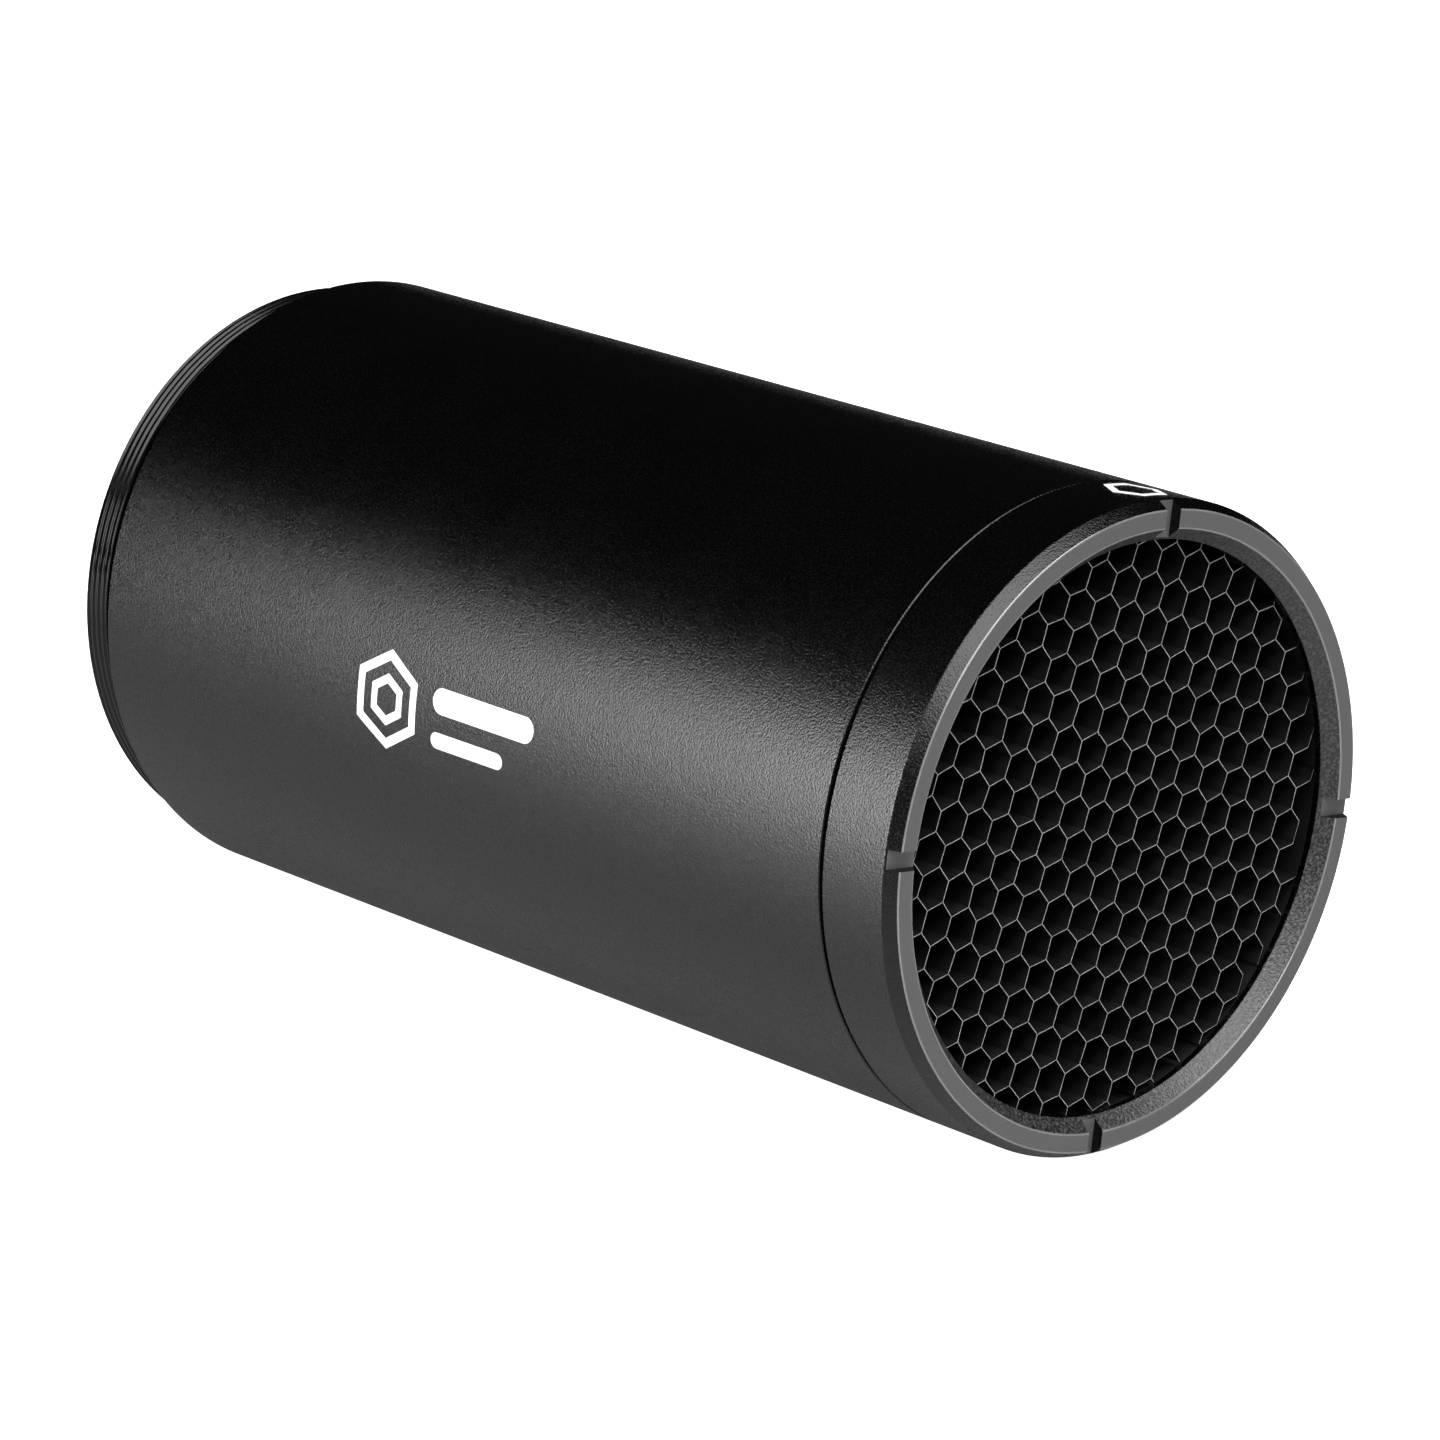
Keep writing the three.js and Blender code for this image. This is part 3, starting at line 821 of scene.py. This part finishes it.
PRINT_LIFT = 0.015 * MM
STRIP_ROWS = 2
BAR_COLUMNS = 48
BAR_BLUNTNESS = 0.03  # share of a bar's height left at its very ends


class Shape(NamedTuple):
    """A printed shape as a grid: at(column, row) gives the flat place of a grid point."""

    at: object
    columns: int
    rows: int


def quadrilateral(a, b, c, d, columns):
    def at(column, row):
        s, t = column / columns, row / STRIP_ROWS
        return a.lerp(b, s).lerp(d.lerp(c, s), t)

    return Shape(at, columns, STRIP_ROWS)


def bar(left, bottom, right, top):
    """A bar with round ends."""
    half_length = (right - left) / 2
    half_height = (top - bottom) / 2
    centre = Vector(((left + right) / 2, (bottom + top) / 2))

    def at(column, row):
        u = -half_length * math.cos(math.pi * column / BAR_COLUMNS)
        past_straight = max(0.0, abs(u) - (half_length - half_height))
        half = math.sqrt(max(0.0, half_height ** 2 - past_straight ** 2))
        half = max(half, BAR_BLUNTNESS * half_height)
        return centre + Vector((u, half * (2 * row / STRIP_ROWS - 1)))

    return Shape(at, BAR_COLUMNS, STRIP_ROWS)


def hexagon(centre, outer, width):
    """The six sides of an open hexagon with a corner at the top."""
    corners = []
    for radius in (outer, outer - width):
        for side in range(7):
            angle = math.radians(90 + 60 * side)
            corners.append(centre + Vector((math.cos(angle), math.sin(angle))) * radius)
    outside, inside = corners[:7], corners[7:]
    sides = zip(outside, outside[1:], inside[1:], inside)
    return [quadrilateral(*side, columns=6) for side in sides]


def wrapped(flat, radius, centre_y, centre_angle):
    angle = centre_angle + flat.y / OUTER_RADIUS
    return (-radius * math.cos(angle), centre_y - flat.x, radius * math.sin(angle))


def shape_solid(shape, centre_y, centre_angle, base):
    """The vertices and faces of one shape as a thin solid that follows the cylinder."""
    columns, rows = shape.columns, shape.rows
    vertices = []
    for radius in (OUTER_RADIUS + PRINT_LIFT, OUTER_RADIUS - PRINT_LIFT):
        for column in range(columns + 1):
            for row in range(rows + 1):
                vertices.append(wrapped(shape.at(column, row), radius, centre_y, centre_angle))

    def number(column, row, level):
        return base + (level * (columns + 1) + column) * (rows + 1) + row

    faces = []
    for column in range(columns):
        for row in range(rows):
            loop = [(column, row), (column + 1, row), (column + 1, row + 1), (column, row + 1)]
            faces.append([number(*spot, 0) for spot in loop])
            faces.append([number(*spot, 1) for spot in reversed(loop)])
    border = [(column, 0) for column in range(columns)]
    border += [(columns, row) for row in range(rows)]
    border += [(column, rows) for column in range(columns, 0, -1)]
    border += [(0, row) for row in range(rows, 0, -1)]
    for here, there in zip(border, border[1:] + border[:1]):
        faces.append([number(*here, 0), number(*here, 1), number(*there, 1), number(*there, 0)])
    return vertices, faces


def build_mark(name, shapes, centre_y, centre_angle, ink, body):
    vertices = []
    faces = []
    for shape in shapes:
        more_vertices, more_faces = shape_solid(shape, centre_y, centre_angle, len(vertices))
        vertices += more_vertices
        faces += more_faces
    mesh = new_mesh(name, vertices, faces)
    mesh.materials.append(ink)
    face_outward(mesh)
    smooth_by_angle(mesh)
    add_piece(name, mesh, body)


def build_marks(ink):
    icon = Vector((-7.6 * MM, 0))
    tube_shapes = hexagon(icon, 4.6 * MM, 1.0 * MM) + hexagon(icon, 2.4 * MM, 0.9 * MM)
    tube_shapes.append(bar(-1.4 * MM, 0.3 * MM, 12.0 * MM, 2.7 * MM))
    tube_shapes.append(bar(-1.4 * MM, -2.9 * MM, 8.2 * MM, -1.4 * MM))
    build_mark("tube_mark", tube_shapes, MOUTH_Y + 56.8 * MM, math.radians(6.4), ink, "tube")
    ring_shapes = hexagon(Vector((0, 0)), 2.8 * MM, 0.8 * MM)
    build_mark("ring_mark", ring_shapes, MOUTH_Y + 4.9 * MM, math.radians(99), ink, "grid_ring")


# ---------- Camera ----------

VIEW_AZIMUTH = -43.12
VIEW_ELEVATION = 18.11
VIEW_DISTANCE = 555.5 * MM
VIEW_AIM = Vector((-0.17 * MM, -53.59 * MM, -2.0 * MM))
VIEW_LENS = 152.3  # millimetres, on a sensor 36 millimetres wide


def direction(azimuth, elevation):
    """The way out from the object, in degrees: azimuth 0 is -Y and 90 is +X."""
    turn, rise = math.radians(azimuth), math.radians(elevation)
    return Vector((math.sin(turn) * math.cos(rise), -math.cos(turn) * math.cos(rise), math.sin(rise)))


def place_aimed(thing, place, target):
    thing.location = place
    thing.rotation_mode = "QUATERNION"
    thing.rotation_quaternion = (target - place).to_track_quat("-Z", "Y")
    bpy.context.scene.collection.objects.link(thing)


def build_camera():
    data = bpy.data.cameras.new("camera")
    data.lens = VIEW_LENS
    data.sensor_width = 36
    data.clip_start = 0.01
    data.clip_end = 20
    camera = bpy.data.objects.new("camera", data)
    place_aimed(camera, VIEW_AIM + direction(VIEW_AZIMUTH, VIEW_ELEVATION) * VIEW_DISTANCE, VIEW_AIM)
    bpy.context.scene.camera = camera


# ---------- Floor and lights ----------

FLOOR_Z = -OUTER_RADIUS - 0.02 * MM
FLOOR_SIZE = 12.0
TABLE_SIZE = 1.1
TABLE_DROP = 0.5 * MM
BACKDROP_RADIUS = 5.5
BACKDROP_HEIGHT = 6.0
BACKDROP_SIDES = 48


def stage_mesh(name, vertices, faces, material):
    mesh = new_mesh(name, vertices, faces)
    mesh.materials.append(material)
    thing = bpy.data.objects.new(name, mesh)
    bpy.context.scene.collection.objects.link(thing)
    return thing


def build_sheet(name, size, z, material):
    half = size / 2
    corners = [(-half, -half, z), (half, -half, z), (half, half, z), (-half, half, z)]
    return stage_mesh(name, corners, [(0, 1, 2, 3)], material)


def build_backdrop(material):
    """An upright ring far round the object, which hides the floor's edge from low views."""
    vertices = []
    for z in (FLOOR_Z, FLOOR_Z + BACKDROP_HEIGHT):
        for side in range(BACKDROP_SIDES):
            angle = 2 * math.pi * side / BACKDROP_SIDES
            vertices.append((BACKDROP_RADIUS * math.cos(angle), BACKDROP_RADIUS * math.sin(angle), z))
    faces = []
    for side in range(BACKDROP_SIDES):
        after = (side + 1) % BACKDROP_SIDES
        faces.append((side, after, BACKDROP_SIDES + after, BACKDROP_SIDES + side))
    return stage_mesh("backdrop", vertices, faces, material)


def build_stage():
    """A glowing white floor and backdrop that only the camera sees, over a white table that
    the object reflects, which its own shadow darkens."""
    white = white_sheet("stage_white", 0.8, 0.8, 1.0)
    for thing in (build_sheet("floor", FLOOR_SIZE, FLOOR_Z, white), build_backdrop(white)):
        thing.visible_glossy = False
        thing.visible_diffuse = False
        thing.visible_shadow = False
    table_white = white_sheet("table_white", 0.46, 0.3, 0.03)
    table = build_sheet("table", TABLE_SIZE, FLOOR_Z - TABLE_DROP, table_white)
    table.visible_camera = False


def softbox(name, target, azimuth, elevation, distance, width, height, radiance):
    """A softbox whose middle lies the given distance out from its target, and faces it."""
    data = bpy.data.lights.new(name, "AREA")
    data.shape = "RECTANGLE"
    data.size = width
    data.size_y = height
    data.energy = radiance * math.pi * width * height
    lamp = bpy.data.objects.new(name, data)
    lamp.visible_camera = False
    place_aimed(lamp, target + direction(azimuth, elevation) * distance, target)


def build_lights():
    near_mouth = Vector((-OUTER_RADIUS, MOUTH_Y + 25 * MM, 0))
    mouth = Vector((0, MOUTH_Y, 0))
    softbox("side_softbox", near_mouth, azimuth=-115.5, elevation=11.5, distance=0.63,
            width=0.40, height=0.30, radiance=12.0)
    softbox("overhead_softbox", mouth, azimuth=-21, elevation=64, distance=0.77,
            width=1.08, height=0.70, radiance=5.5)
    softbox("front_softbox", mouth, azimuth=5, elevation=15, distance=0.90,
            width=0.34, height=0.22, radiance=9.0)


def build_world():
    world = bpy.data.worlds.new("studio")
    world.use_nodes = True
    background = world.node_tree.nodes["Background"]
    background.inputs["Color"].default_value = (1, 1, 1, 1)
    background.inputs["Strength"].default_value = 0.008
    bpy.context.scene.world = world
    bpy.context.scene.view_settings.view_transform = "Standard"


# ---------- Scene ----------

build_camera()
tube_finishes = [blasted_black(), bore_black(), threaded_black()]
build_tube(tube_finishes)
build_ring([*tube_finishes, machined_black(), satin_black(), wear_and_highlight_black()])
build_gasket(black_rubber())
build_snap_ring(spring_steel())
build_honeycomb(foil_wall(), foil_edge())
build_marks(white_print())
build_stage()
build_lights()
build_world()
